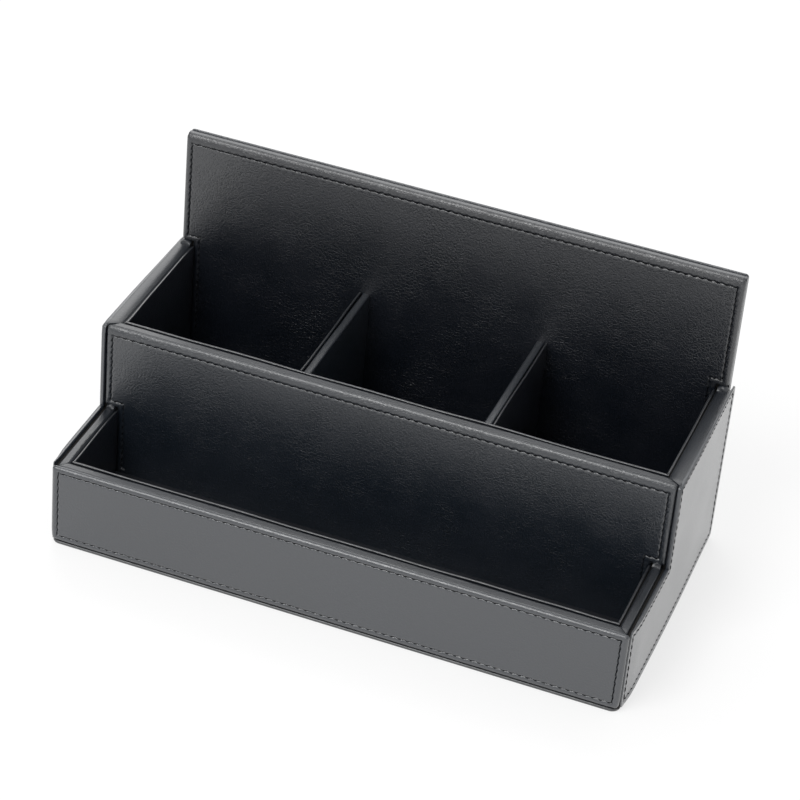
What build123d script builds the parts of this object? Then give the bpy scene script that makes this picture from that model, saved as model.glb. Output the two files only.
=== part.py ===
from build123d import *
import os

# Desk utensil holder in sewn leather: a low tray, three open cells behind it and a high back panel.
# Every wall is a stiff board with a leather skin outside, a thin leather lining inside and a rim strip
# let in between the two along its top edge. Millimetres, +Z up, the front towards -Y, and the origin
# in the middle of the footprint, at desk level.

# Overall sizes
width = 262.0
depth = 136.0
tray_height = 40.5
cell_height = 82.4
back_height = 138.5
tray_depth = 51.0           # front face of the tray to front face of the cell box
left_cell_width = 80.3      # clear width inside the linings; the right cell takes what is left
middle_cell_width = 78.6

# Boards
base_board_thickness = 5.0
wall_board_thickness = 5.4  # front and middle walls
side_board_thickness = 6.2
back_board_thickness = 3.8
divider_board_thickness = 1.9

# Leather
face_skin_thickness = 2.0   # front, middle and back panel's front
rear_skin_thickness = 1.5
side_skin_thickness = 1.4
base_skin_thickness = 1.2
lining_thickness = 1.0
wrap_thickness = 0.8        # folded over each divider board
strip_thickness = 1.4       # rim strips

# Leather edges and seams
skin_corner_radius = 1.6
side_corner_radius = 2.4    # corners of the stepped side skins
foot_corner_radius = 3.0    # lower corners of every skin
base_corner_radius = 4.0
skin_edge_share = 0.65      # rolled edge towards the outside, as a share of the skin's thickness
skin_back_bevel = 0.3       # same edge towards the board
lining_edge_share = 0.42    # softened top edge of a lining, as a share of its thickness
strip_edge_radius = 1.2     # the strips are crowned
seam_inset = 3.2            # thread line from the skin's edge
panel_seam_inset = 4.1      # thread line below the top edge of the middle and back panels
seam_width = 0.9
seam_depth = 0.35

# Clearances
skin_gap = 0.3              # between two skins that meet at a corner
panel_gap = 1.0             # ends of the middle and back panels to the side skins
front_reveal = 1.3          # side skins stand out beyond the front skin's ends
base_recess = 0.5           # base skin behind the front and rear faces
side_lift = 0.4             # side skins above the desk
middle_notch_lift = 0.5     # middle skin's notches above the tray's edge
back_notch_lift = 1.5       # back panel's notches above the cell box's edge
groove = 0.35               # rim strip to the skin beside it
tray_groove = 1.5           # tray's rim strips to the side skins, an open gap
lining_gap = 1.0            # rim strip to the lining along the front and middle walls
side_lining_gap = 0.4       # the same along the side walls
strip_drop = 0.4            # rim strips below the skins' edges
lining_drop = 0.4           # linings below the skins' edges
divider_drop = 0.8          # divider tops below the cell box's edge
divider_gap = 0.6           # divider to the lining that stands beside it

# Planes across the width, counted outwards from the middle
side_outer = width / 2
side_skin_inner = side_outer - side_skin_thickness
side_board_inner = side_skin_inner - side_board_thickness
side_clear = side_board_inner - lining_thickness
front_half = side_outer - front_reveal
panel_half = side_skin_inner - panel_gap
panel_foot_half = side_board_inner - skin_gap
back_board_half = panel_half - strip_thickness

# Planes from front to rear
front_face = -depth / 2
front_board_face = front_face + face_skin_thickness
front_board_rear = front_board_face + wall_board_thickness
tray_clear_front = front_board_rear + lining_thickness
middle_face = front_face + tray_depth
middle_board_face = middle_face + face_skin_thickness
middle_board_rear = middle_board_face + wall_board_thickness
cell_clear_front = middle_board_rear + lining_thickness
rear_face = depth / 2
back_board_rear = rear_face - rear_skin_thickness
back_board_face = back_board_rear - back_board_thickness
cell_clear_rear = back_board_face - face_skin_thickness

# Levels
floor_board_top = base_skin_thickness + base_board_thickness
floor_top = floor_board_top + lining_thickness
skin_bottom = base_skin_thickness + skin_gap
tray_board_top = tray_height - strip_drop - strip_thickness
cell_board_top = cell_height - strip_drop - strip_thickness
middle_notch_level = tray_height + middle_notch_lift
back_notch_level = cell_height + back_notch_lift
back_board_top = back_height - strip_drop - strip_thickness
tray_lining_top = tray_height - lining_drop
cell_lining_top = cell_height - lining_drop
divider_top = cell_height - divider_drop

# Dividers: the lining of an outer cell, a gap, then the wrapped board
divider_thickness = divider_board_thickness + 2 * wrap_thickness
left_divider_lining = -side_clear + left_cell_width
left_divider_face = left_divider_lining + lining_thickness + divider_gap
right_divider_face = left_divider_face + divider_thickness + middle_cell_width
right_divider_lining = right_divider_face + divider_thickness + divider_gap

os.makedirs("parts", exist_ok=True)


def keep(piece, label):
    """Label a finished piece and write it to its own file."""
    piece.label = label
    export_step(piece, f"parts/{label}.step")


def rectangle_between(x_low, x_high, y_low, y_high, mode=Mode.ADD):
    """A rectangle between two corners of the sketch's plane."""
    with Locations(((x_low + x_high) / 2, (y_low + y_high) / 2)):
        Rectangle(x_high - x_low, y_high - y_low, mode=mode)


def plain_sheet(label, x_span, y_span, z_span):
    """A square-edged board or floor lining between two opposite corners."""
    with BuildPart() as sheet:
        with BuildSketch(Plane.XY.offset(z_span[0])):
            rectangle_between(*x_span, *y_span)
        extrude(amount=z_span[1] - z_span[0])
    keep(sheet.part, label)


def wall_lining(label, x_span, y_span, z_span):
    """A thin leather sheet standing against a wall, with its top edge softened."""
    with BuildPart() as sheet:
        with BuildSketch(Plane.XY.offset(z_span[0])):
            rectangle_between(*x_span, *y_span)
        extrude(amount=z_span[1] - z_span[0])
        long_edges = sheet.faces().sort_by(Axis.Z)[-1].edges().sort_by(SortBy.LENGTH)[-2:]
        fillet(long_edges, lining_edge_share * lining_thickness)
    keep(sheet.part, label)


def sewn_skin(label, board_plane, corners, thickness, corner_radius, top_inset):
    """A leather skin that lies on the board's plane: rolled edges and a sunk line for the thread."""
    top = max(level for _, level in corners)
    with BuildPart() as skin:
        with BuildSketch(board_plane) as outline:
            with BuildLine():
                Polyline(*corners, close=True)
            make_face()
            fillet(outline.vertices().group_by(Axis.Y)[0], foot_corner_radius)
            above_feet = outline.vertices().group_by(Axis.Y)[2:]
            fillet([corner for level in above_feet for corner in level], corner_radius)
        extrude(amount=thickness)
        outward = Axis(board_plane.origin, board_plane.z_dir)
        fillet(skin.faces().sort_by(outward)[-1].edges(), skin_edge_share * thickness)
        chamfer(skin.faces().sort_by(outward)[0].edges(), skin_back_bevel)
        with BuildSketch(board_plane.offset(thickness)):
            add(outline.face())
            offset(amount=-(seam_inset - seam_width / 2), kind=Kind.INTERSECTION, mode=Mode.REPLACE)
            rectangle_between(-width, width, 0, top - top_inset + seam_width / 2, Mode.INTERSECT)
            offset(amount=-seam_width, kind=Kind.INTERSECTION, mode=Mode.SUBTRACT)
        extrude(amount=-seam_depth, mode=Mode.SUBTRACT)
    keep(skin.part, label)


def rim_strip(label, board_top, corners):
    """A strip of leather along the top of a board: its plan, with mitred ends, and rounded sides."""
    with BuildPart() as strip:
        with BuildSketch(Plane.XY.offset(board_top)):
            with BuildLine():
                Polyline(*corners, close=True)
            make_face()
        extrude(amount=strip_thickness)
        long_edges = strip.faces().sort_by(Axis.Z)[-1].edges().sort_by(SortBy.LENGTH)[-2:]
        fillet(long_edges, strip_edge_radius)
    keep(strip.part, label)


# Boards

plain_sheet(
    "base_board",
    (-side_skin_inner, side_skin_inner),
    (front_board_face, back_board_rear),
    (base_skin_thickness, floor_board_top),
)
plain_sheet(
    "front_board",
    (-side_skin_inner, side_skin_inner),
    (front_board_face, front_board_rear),
    (floor_board_top, tray_board_top),
)
plain_sheet(
    "middle_board",
    (-side_board_inner, side_board_inner),
    (middle_board_face, middle_board_rear),
    (floor_board_top, cell_board_top),
)
plain_sheet(
    "back_board",
    (-back_board_half, back_board_half),
    (back_board_face, back_board_rear),
    (floor_board_top, back_board_top),
)

side_board_outline = [
    (front_board_rear, floor_board_top),
    (back_board_face, floor_board_top),
    (back_board_face, cell_board_top),
    (middle_board_face, cell_board_top),
    (middle_board_face, tray_board_top),
    (front_board_rear, tray_board_top),
]
with BuildPart() as right_side_board:
    with BuildSketch(Plane.YZ.offset(side_board_inner)):
        with BuildLine():
            Polyline(*side_board_outline, close=True)
        make_face()
    extrude(amount=side_board_thickness)
keep(right_side_board.part, "right_side_board")

with BuildPart() as left_side_board:
    add(right_side_board.part)
    mirror(about=Plane.YZ, mode=Mode.REPLACE)
keep(left_side_board.part, "left_side_board")

# Outer skins

with BuildPart() as base_skin:
    with BuildSketch():
        RectangleRounded(2 * (side_skin_inner - skin_gap), depth - 2 * base_recess, base_corner_radius)
    extrude(amount=base_skin_thickness)
    chamfer(base_skin.faces().sort_by(Axis.Z)[0].edges(), skin_back_bevel)
keep(base_skin.part, "base_skin")

# Over the ends of the front board and the front ends of the side skins
sewn_skin(
    "front_skin",
    Plane.XZ.offset(-front_board_face),
    [
        (-front_half, skin_bottom),
        (front_half, skin_bottom),
        (front_half, tray_height),
        (-front_half, tray_height),
    ],
    face_skin_thickness,
    skin_corner_radius,
    seam_inset,
)
# Between the side boards up to the tray's rim, then out over their ends
sewn_skin(
    "middle_skin",
    Plane.XZ.offset(-middle_board_face),
    [
        (-panel_foot_half, floor_board_top),
        (panel_foot_half, floor_board_top),
        (panel_foot_half, middle_notch_level),
        (panel_half, middle_notch_level),
        (panel_half, cell_height),
        (-panel_half, cell_height),
        (-panel_half, middle_notch_level),
        (-panel_foot_half, middle_notch_level),
    ],
    face_skin_thickness,
    skin_corner_radius,
    panel_seam_inset,
)
# Between the side boards up to the cells' rim, then as wide as the back panel
sewn_skin(
    "back_front_skin",
    Plane.XZ.offset(-back_board_face),
    [
        (-panel_foot_half, floor_board_top),
        (panel_foot_half, floor_board_top),
        (panel_foot_half, back_notch_level),
        (panel_half, back_notch_level),
        (panel_half, back_height),
        (-panel_half, back_height),
        (-panel_half, back_notch_level),
        (-panel_foot_half, back_notch_level),
    ],
    face_skin_thickness,
    skin_corner_radius,
    panel_seam_inset,
)
sewn_skin(
    "back_rear_skin",
    Plane(origin=(0, back_board_rear, 0), x_dir=(-1, 0, 0), z_dir=(0, 1, 0)),
    [
        (-panel_half, skin_bottom),
        (panel_half, skin_bottom),
        (panel_half, back_height),
        (-panel_half, back_height),
    ],
    rear_skin_thickness,
    skin_corner_radius,
    seam_inset,
)

side_skin_front = front_board_face + skin_gap
side_skin_outline = [
    (side_skin_front, side_lift),
    (rear_face, side_lift),
    (rear_face, cell_height),
    (middle_face, cell_height),
    (middle_face, tray_height),
    (side_skin_front, tray_height),
]
for side, name in ((1, "right"), (-1, "left")):
    sewn_skin(
        f"{name}_side_skin",
        Plane(origin=(side * side_skin_inner, 0, 0), x_dir=(0, side, 0), z_dir=(side, 0, 0)),
        [(side * y, z) for y, z in side_skin_outline],
        side_skin_thickness,
        side_corner_radius,
        seam_inset,
    )

# Rim strips, mitred where the side walls meet the front and middle walls

strip_inner = side_board_inner + side_lining_gap
tiers = {
    "lower": ("front", tray_board_top, front_board_face, front_board_rear, middle_board_face, tray_groove),
    "upper": ("middle", cell_board_top, middle_board_face, middle_board_rear, back_board_face, groove),
}
for tier, (wall, board_top, wall_face, wall_rear, next_board, side_groove) in tiers.items():
    strip_outer = side_skin_inner - side_groove
    strip_end = next_board - groove
    outer_corner = (strip_outer, wall_face + groove)
    inner_corner = (strip_inner, wall_rear - lining_gap)
    rim_strip(
        f"{wall}_rim_strip",
        board_top,
        [
            (-outer_corner[0], outer_corner[1]),
            outer_corner,
            inner_corner,
            (-inner_corner[0], inner_corner[1]),
        ],
    )
    for side, name in ((1, "right"), (-1, "left")):
        rim_strip(
            f"{name}_{tier}_rim_strip",
            board_top,
            [
                (side * outer_corner[0], outer_corner[1]),
                (side * strip_outer, strip_end),
                (side * strip_inner, strip_end),
                (side * inner_corner[0], inner_corner[1]),
            ],
        )

# Over the top of the back board and down both its ends
strip_width = back_board_thickness - 2 * groove
strip_plane = Plane.XZ.offset(groove - back_board_rear)
with BuildPart() as back_rim_strip:
    with BuildSketch(strip_plane) as frame:
        rectangle_between(-panel_half, panel_half, floor_board_top, back_board_top + strip_thickness)
        fillet(frame.vertices().group_by(Axis.Y)[-1], skin_corner_radius)
    extrude(amount=strip_width)
    for face in (back_rim_strip.faces().sort_by(Axis.Y)[0], back_rim_strip.faces().sort_by(Axis.Y)[-1]):
        fillet(face.edges().sort_by(Axis.Z)[1:], strip_edge_radius)
    with BuildSketch(strip_plane):
        rectangle_between(-back_board_half, back_board_half, floor_board_top, back_board_top)
    extrude(amount=strip_width, mode=Mode.SUBTRACT)
keep(back_rim_strip.part, "back_rim_strip")

# Linings of the tray

plain_sheet(
    "tray_floor_lining",
    (-side_clear, side_clear),
    (tray_clear_front, middle_face),
    (floor_board_top, floor_top),
)
wall_lining(
    "tray_front_lining",
    (-side_board_inner, side_board_inner),
    (front_board_rear, tray_clear_front),
    (floor_board_top, tray_lining_top),
)
wall_lining(
    "tray_left_lining",
    (-side_board_inner, -side_clear),
    (tray_clear_front, middle_face - skin_gap),
    (floor_board_top, tray_lining_top),
)
wall_lining(
    "tray_right_lining",
    (side_clear, side_board_inner),
    (tray_clear_front, middle_face - skin_gap),
    (floor_board_top, tray_lining_top),
)

# Linings of the cells

cell_depth = (cell_clear_front, cell_clear_rear)
wall_lining(
    "cell_front_lining",
    (-side_board_inner, side_board_inner),
    (middle_board_rear, cell_clear_front),
    (floor_board_top, cell_lining_top),
)
upright_linings = {
    "left_cell_side_lining": -side_board_inner,
    "left_divider_lining": left_divider_lining,
    "right_divider_lining": right_divider_lining,
    "right_cell_side_lining": side_clear,
}
for label, x_low in upright_linings.items():
    wall_lining(
        label,
        (x_low, x_low + lining_thickness),
        (cell_clear_front, cell_clear_rear - skin_gap),
        (floor_board_top, cell_lining_top),
    )
cell_floors = {
    "left_cell_floor_lining": (-side_clear, left_divider_lining),
    "middle_cell_floor_lining": (left_divider_face + divider_thickness, right_divider_face),
    "right_cell_floor_lining": (right_divider_lining + lining_thickness, side_clear),
}
for label, x_span in cell_floors.items():
    plain_sheet(label, x_span, cell_depth, (floor_board_top, floor_top))

# Dividers: a thin board with leather folded over its top

for name, divider_face in (("left", left_divider_face), ("right", right_divider_face)):
    board_span = (divider_face + wrap_thickness, divider_face + wrap_thickness + divider_board_thickness)
    board_levels = (floor_board_top, divider_top - wrap_thickness)
    plain_sheet(f"{name}_divider_board", board_span, cell_depth, board_levels)
    with BuildPart() as wrap:
        with BuildSketch(Plane.XZ.offset(-cell_clear_front)) as fold:
            rectangle_between(divider_face, divider_face + divider_thickness, floor_board_top, divider_top)
            fillet(fold.vertices().group_by(Axis.Y)[-1], wrap_thickness)
            with BuildSketch(mode=Mode.SUBTRACT):
                rectangle_between(*board_span, *board_levels)
        extrude(amount=-(cell_clear_rear - cell_clear_front))
    keep(wrap.part, f"{name}_divider_wrap")
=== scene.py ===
import math

import bmesh
import bpy
from mathutils import Matrix, Vector, noise


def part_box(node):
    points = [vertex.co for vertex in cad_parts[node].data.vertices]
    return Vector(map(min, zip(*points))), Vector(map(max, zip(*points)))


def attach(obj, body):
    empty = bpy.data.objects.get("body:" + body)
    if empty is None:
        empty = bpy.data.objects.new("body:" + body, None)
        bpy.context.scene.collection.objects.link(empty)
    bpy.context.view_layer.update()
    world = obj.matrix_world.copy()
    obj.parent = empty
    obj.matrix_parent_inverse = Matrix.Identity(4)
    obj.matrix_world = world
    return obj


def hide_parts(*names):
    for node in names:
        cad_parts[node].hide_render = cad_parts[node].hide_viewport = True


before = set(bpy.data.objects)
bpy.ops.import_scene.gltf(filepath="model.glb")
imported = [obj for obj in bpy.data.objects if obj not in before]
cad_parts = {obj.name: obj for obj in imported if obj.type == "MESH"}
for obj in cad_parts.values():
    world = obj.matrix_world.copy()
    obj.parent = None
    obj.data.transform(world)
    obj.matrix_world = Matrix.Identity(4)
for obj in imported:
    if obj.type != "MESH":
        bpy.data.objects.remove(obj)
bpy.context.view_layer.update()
mm = 0.001
near = 0.00001                   # places closer than this, in metres, count as one
cutReach = 0.000001              # a cut takes over vertices that lie this close to it
aligned = 0.99                   # share of an edge's length that has to lie along an axis
seedSteps = (7.3, 3.1, 1.7)      # how far apart two seeds read the noise


# small helpers for working in edit mode

def deselectAll():
    for one in bpy.context.selected_objects:
        one.select_set(False)


def chooseOnly(pieces):
    deselectAll()
    for piece in pieces:
        piece.select_set(True)
    bpy.context.view_layer.objects.active = pieces[0]


def openEdit(piece):
    chooseOnly([piece])
    bpy.ops.object.mode_set(mode="EDIT")
    bpy.ops.mesh.select_mode(type="VERT")


def closeEdit():
    bpy.ops.object.mode_set(mode="OBJECT")


# selects the vertices, edges or faces that the rule accepts
def pick(piece, kind, rule):
    bpy.ops.mesh.select_mode(type={"verts": "VERT", "edges": "EDGE", "faces": "FACE"}[kind])
    bpy.ops.mesh.select_all(action="DESELECT")
    mesh = bmesh.from_edit_mesh(piece.data)
    for one in getattr(mesh, kind):
        if rule(one):
            one.select_set(True)
    bmesh.update_edit_mesh(piece.data)


def cutAcross(axis, place):
    along = [0, 0, 0]
    along[axis] = 1
    spot = [0, 0, 0]
    spot[axis] = place
    bpy.ops.mesh.select_all(action="SELECT")
    bpy.ops.mesh.bisect(plane_co=spot, plane_no=along, threshold=cutReach)


def applyPlace(piece):
    chooseOnly([piece])
    bpy.ops.object.transform_apply(location=True, rotation=True, scale=True)


# cuts at even steps between two places
def cutEvenly(axis, low, high, widest):
    count = max(1, round((high - low) / widest))
    for step in range(1, count):
        cutAcross(axis, low + (high - low) * step / count)


def roundEdges(radius, steps):
    bpy.ops.mesh.bevel(offset=radius, segments=steps, clamp_overlap=False)


def turnFacesOut():
    bpy.ops.mesh.select_all(action="SELECT")
    bpy.ops.mesh.normals_make_consistent(inside=False)


# adds a block that fills a box, ready to be shaped
def addBlock(name, low, high):
    bpy.ops.mesh.primitive_cube_add(size=1, location=(Vector(low) + Vector(high)) / 2)
    block = bpy.context.object
    block.name = name
    block.scale = Vector(high) - Vector(low)
    applyPlace(block)
    return block


def longAxis(low, high):
    return 0 if high[0] - low[0] > high[1] - low[1] else 1


def runsAlong(edge, axis):
    run = edge.verts[1].co - edge.verts[0].co
    return abs(run[axis]) > aligned * run.length


def liesAt(edge, axis, place):
    return all(abs(vertex.co[axis] - place) < near for vertex in edge.verts)


def smoothStep(share):
    share = min(1, max(0, share))
    return share * share * (3 - 2 * share)


def wander(place, length, seed):
    return noise.noise(Vector(place) / length + Vector([seed * step for step in seedSteps]))


def smoothPiece(piece, angle):
    chooseOnly([piece])
    bpy.ops.object.shade_smooth_by_angle(angle=math.radians(angle))


# rounds the edges that are sharper than the angle and shades the rest as one surface
def softenPiece(piece, width, steps, angle):
    chooseOnly([piece])
    soften = piece.modifiers.new("softEnds", "BEVEL")
    soften.width = width
    soften.segments = steps
    soften.angle_limit = math.radians(angle)
    bpy.ops.object.modifier_apply(modifier=soften.name)
    smoothPiece(piece, angle)


def dress(piece, material, slot, *nodes):
    piece.data.materials.clear()
    piece.data.materials.append(material)
    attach(piece, "root")
    if nodes:
        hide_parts(*nodes)


deselectAll()

# camera: the photograph's own viewpoint, worked out from the holder's edges

cameraSetup = {
    "azimuth": 17.938,
    "elevation": 34.661,
    "roll": 5.341,
    "distance": 1.35325,
    "lens": 138.16,
    "sensor": 36.0,
    "aimRight": 0.00682,
    "aimUp": 0.06093,
    "nearest": 0.1,
    "farthest": 20.0,
}


def placeCamera(setup):
    azimuth = math.radians(setup["azimuth"])
    elevation = math.radians(setup["elevation"])
    roll = math.radians(setup["roll"])
    ahead = Vector((
        -math.sin(azimuth) * math.cos(elevation),
        math.cos(azimuth) * math.cos(elevation),
        -math.sin(elevation),
    ))
    level = ahead.cross(Vector((0, 0, 1))).normalized()
    rise = level.cross(ahead)
    right = math.cos(roll) * level + math.sin(roll) * rise
    up = -math.sin(roll) * level + math.cos(roll) * rise
    spot = setup["aimRight"] * right + setup["aimUp"] * up - setup["distance"] * ahead
    bpy.ops.object.camera_add()
    camera = bpy.context.object
    camera.name = "camera"
    camera.data.lens = setup["lens"]
    camera.data.sensor_width = setup["sensor"]
    camera.data.clip_start = setup["nearest"]
    camera.data.clip_end = setup["farthest"]
    turn = Matrix((right, up, -ahead)).transposed().to_4x4()
    camera.matrix_world = Matrix.Translation(spot) @ turn
    bpy.context.scene.camera = camera
    print("camera placed")


placeCamera(cameraSetup)


# adds a node; where a socket is given for an input it is linked, and anything else is its value
def addNode(tree, kind, inputs, **settings):
    node = tree.nodes.new("ShaderNode" + kind)
    for name, value in settings.items():
        setattr(node, name, value)
    for name, value in inputs.items():
        if isinstance(value, bpy.types.NodeSocket):
            tree.links.new(value, node.inputs[name])
        else:
            node.inputs[name].default_value = value
    return node


def addMath(tree, operation, first, second):
    return addNode(tree, "Math", {0: first, 1: second}, operation=operation).outputs[0]


# floor, world and lamps

stageSetup = {
    "floorSize": 8.0,
    "floorColour": (0.32, 0.32, 0.32, 1),
    "floorGlow": 0.69,
    "worldStrength": 0.66,
    "worldColour": (1.0, 1.0, 1.0, 1),
    # place, size and power of each softbox
    "lamps": {
        "rearSoftbox": ((-0.5, 1.55, 1.25), 1.6, 13.5),
        "frontSoftbox": ((-0.4, -0.9, 1.3), 0.75, 11.5),
    },
}


def buildFloor(setup):
    bpy.ops.mesh.primitive_plane_add(size=setup["floorSize"])
    floor = bpy.context.object
    floor.name = "floor"
    material = bpy.data.materials.new("paleFloor")
    material.use_nodes = True
    tree = material.node_tree
    tree.nodes.remove(tree.nodes["Principled BSDF"])
    matt = addNode(tree, "BsdfDiffuse", {"Color": setup["floorColour"]})
    rays = addNode(tree, "LightPath", {}).outputs
    seen = addMath(tree, "MAXIMUM", rays["Is Camera Ray"], rays["Is Glossy Ray"])
    seenAll = addMath(tree, "MAXIMUM", seen, rays["Is Transmission Ray"])
    strength = addMath(tree, "MULTIPLY", seenAll, setup["floorGlow"])
    glow = addNode(tree, "Emission", {"Strength": strength})
    total = addNode(tree, "AddShader", {0: matt.outputs[0], 1: glow.outputs[0]})
    tree.links.new(total.outputs[0], tree.nodes["Material Output"].inputs["Surface"])
    floor.data.materials.append(material)


def buildLight(setup):
    bpy.context.scene.view_settings.view_transform = "Standard"
    world = bpy.data.worlds.new("softRoom")
    bpy.context.scene.world = world
    world.use_nodes = True
    background = world.node_tree.nodes["Background"]
    background.inputs["Color"].default_value = setup["worldColour"]
    background.inputs["Strength"].default_value = setup["worldStrength"]
    for name, (spot, size, power) in setup["lamps"].items():
        bpy.ops.object.light_add(type="AREA", location=spot)
        lamp = bpy.context.object
        lamp.name = name
        lamp.data.size = size
        lamp.data.energy = power
        lamp.rotation_euler = (-Vector(spot)).to_track_quat("-Z", "Y").to_euler()


buildFloor(stageSetup)
buildLight(stageSetup)
print("floor and light ready")


# shared effects for the materials

def newGroup(name, inputs, outputs):
    group = bpy.data.node_groups.new(name, "ShaderNodeTree")
    for label, kind in inputs:
        group.interface.new_socket(name=label, in_out="INPUT", socket_type="NodeSocket" + kind)
    for label, kind in outputs:
        group.interface.new_socket(name=label, in_out="OUTPUT", socket_type="NodeSocket" + kind)
    return group, group.nodes.new("NodeGroupInput"), group.nodes.new("NodeGroupOutput")


grainMaking = {
    "bendScale": 260.0,
    "bendDetail": 3.0,
    "bend": 0.0022,              # how far the pattern is pushed about, in metres
    "pebbleSmoothness": 0.5,
    "creaseWidth": 0.14,
    "patchScale": 55.0,          # the creases run deeper in some patches than in others
    "patchRange": (0.20, 0.80),
}


# pebbles with fine creases running between them, as pressed into the hide
def makeGrainGroup(making):
    group, given, result = newGroup(
        "leatherGrain",
        [("Vector", "Vector"), ("Pebbles", "Float"), ("Creases", "Float"), ("Crease Share", "Float")],
        [("Height", "Float")],
    )
    place = given.outputs["Vector"]
    bend = addNode(group, "TexNoise", {
        "Vector": place,
        "Scale": making["bendScale"],
        "Detail": making["bendDetail"],
    })
    shift = addNode(group, "VectorMath", {
        0: bend.outputs["Color"],
        "Scale": making["bend"],
    }, operation="SCALE")
    bent = addNode(group, "VectorMath", {0: place, 1: shift.outputs[0]}, operation="ADD")
    pebbles = addNode(group, "TexVoronoi", {
        "Vector": bent.outputs[0],
        "Scale": given.outputs["Pebbles"],
        "Smoothness": making["pebbleSmoothness"],
    }, feature="SMOOTH_F1")
    creases = addNode(group, "TexVoronoi", {
        "Vector": bent.outputs[0],
        "Scale": given.outputs["Creases"],
    }, feature="DISTANCE_TO_EDGE")
    crease = addNode(group, "MapRange", {
        "Value": creases.outputs["Distance"],
        "From Max": making["creaseWidth"],
    }, interpolation_type="SMOOTHSTEP")
    patches = addNode(group, "TexNoise", {"Vector": place, "Scale": making["patchScale"]})
    spread = addNode(group, "MapRange", {
        "Value": patches.outputs["Fac"],
        "From Min": making["patchRange"][0],
        "From Max": making["patchRange"][1],
    })
    depth = addMath(group, "MULTIPLY", spread.outputs["Result"], given.outputs["Crease Share"])
    raised = addMath(group, "MULTIPLY", crease.outputs["Result"], depth)
    height = addMath(group, "SUBTRACT", raised, pebbles.outputs["Distance"])
    group.links.new(height, result.inputs["Height"])
    return group


wearMaking = {"scale": 34.0, "detail": 6.0, "roughness": 0.62, "range": (0.34, 0.68)}


# slow changes of colour and gloss, where hands have polished the leather or left it dull
def makeWearGroup(making):
    group, given, result = newGroup(
        "handling",
        [("Vector", "Vector"), ("Fresh", "Color"), ("Rubbed", "Color"), ("Low", "Float"), ("High", "Float")],
        [("Colour", "Color"), ("Roughness", "Float")],
    )
    clouds = addNode(group, "TexNoise", {
        "Vector": given.outputs["Vector"],
        "Scale": making["scale"],
        "Detail": making["detail"],
        "Roughness": making["roughness"],
    })
    share = addNode(group, "MapRange", {
        "Value": clouds.outputs["Fac"],
        "From Min": making["range"][0],
        "From Max": making["range"][1],
    })
    mix = addNode(group, "Mix", {
        "Factor": share.outputs["Result"],
        "A": given.outputs["Fresh"],
        "B": given.outputs["Rubbed"],
    }, data_type="RGBA")
    gloss = addNode(group, "MapRange", {
        "Value": share.outputs["Result"],
        "To Min": given.outputs["Low"],
        "To Max": given.outputs["High"],
    })
    group.links.new(mix.outputs["Result"], result.inputs["Colour"])
    group.links.new(gloss.outputs["Result"], result.inputs["Roughness"])
    return group


grainGroup = makeGrainGroup(grainMaking)
wearGroup = makeWearGroup(wearMaking)

# leathers: the sewn skins, the rolled strips, the thin linings and the base differ in grain and gloss

leatherLooks = {
    "skinLeather": {
        "fresh": (0.007, 0.012, 0.020, 1),
        "rubbed": (0.011, 0.016, 0.025, 1),
        "roughness": (0.34, 0.40),
        "coat": 1.0,
        "coatRoughness": 0.30,
        "ior": 1.80,
        "pebbles": 1600.0,
        "creases": 650.0,
        "creaseShare": 0.8,
        "grainDepth": 0.00009,
    },
    # the inner panels are cut from a grainier and duller part of the hide, and their colour is painted
    # darker, as painted shade, since they stand deep inside the holder
    "shadedPanelLeather": {
        "fresh": (0.005, 0.009, 0.015, 1),
        "rubbed": (0.009, 0.013, 0.020, 1),
        "roughness": (0.34, 0.42),
        "coat": 0.64,
        "coatRoughness": 0.30,
        "ior": 1.80,
        "pebbles": 1500.0,
        "creases": 620.0,
        "creaseShare": 1.1,
        "grainDepth": 0.00011,
    },
    "stripLeather": {
        "fresh": (0.010, 0.013, 0.018, 1),
        "rubbed": (0.022, 0.026, 0.033, 1),
        "roughness": (0.36, 0.46),
        "coat": 0.8,
        "coatRoughness": 0.30,
        "ior": 1.5,
        "pebbles": 1700.0,
        "creases": 600.0,
        "creaseShare": 0.7,
        "grainDepth": 0.00008,
    },
    "liningLeather": {
        "fresh": (0.006, 0.008, 0.012, 1),
        "rubbed": (0.011, 0.013, 0.018, 1),
        "roughness": (0.30, 0.38),
        "coat": 1.0,
        "coatRoughness": 0.26,
        "ior": 1.7,
        "pebbles": 1500.0,
        "creases": 500.0,
        "creaseShare": 0.8,
        "grainDepth": 0.00010,
    },
    "floorLeather": {
        "fresh": (0.005, 0.006, 0.009, 1),
        "rubbed": (0.009, 0.011, 0.015, 1),
        "roughness": (0.68, 0.80),
        "coat": 0.0,
        "coatRoughness": 0.40,
        "ior": 1.4,
        "pebbles": 1500.0,
        "creases": 500.0,
        "creaseShare": 0.8,
        "grainDepth": 0.00010,
    },
    "baseLeather": {
        "fresh": (0.020, 0.022, 0.026, 1),
        "rubbed": (0.034, 0.036, 0.040, 1),
        "roughness": (0.38, 0.46),
        "coat": 1.0,
        "coatRoughness": 0.32,
        "ior": 1.7,
        "pebbles": 1300.0,
        "creases": 500.0,
        "creaseShare": 0.5,
        "grainDepth": 0.00010,
    },
}

# the back panel's leather is painted the darkest of the panels, as painted shade, and is the least glossy of
# them
leatherLooks["shadedBackLeather"] = dict(
    leatherLooks["shadedPanelLeather"],
    fresh=(0.002, 0.004, 0.008, 1),
    rubbed=(0.004, 0.006, 0.011, 1),
    coat=0.44,
)


def startMaterial(name):
    material = bpy.data.materials.new(name)
    material.use_nodes = True
    tree = material.node_tree
    place = tree.nodes.new("ShaderNodeTexCoord").outputs["Object"]
    return material, tree, tree.nodes["Principled BSDF"], place


def addBump(tree, height, depth, shader):
    bump = addNode(tree, "Bump", {"Height": height, "Distance": depth})
    tree.links.new(bump.outputs["Normal"], shader.inputs["Normal"])
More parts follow.
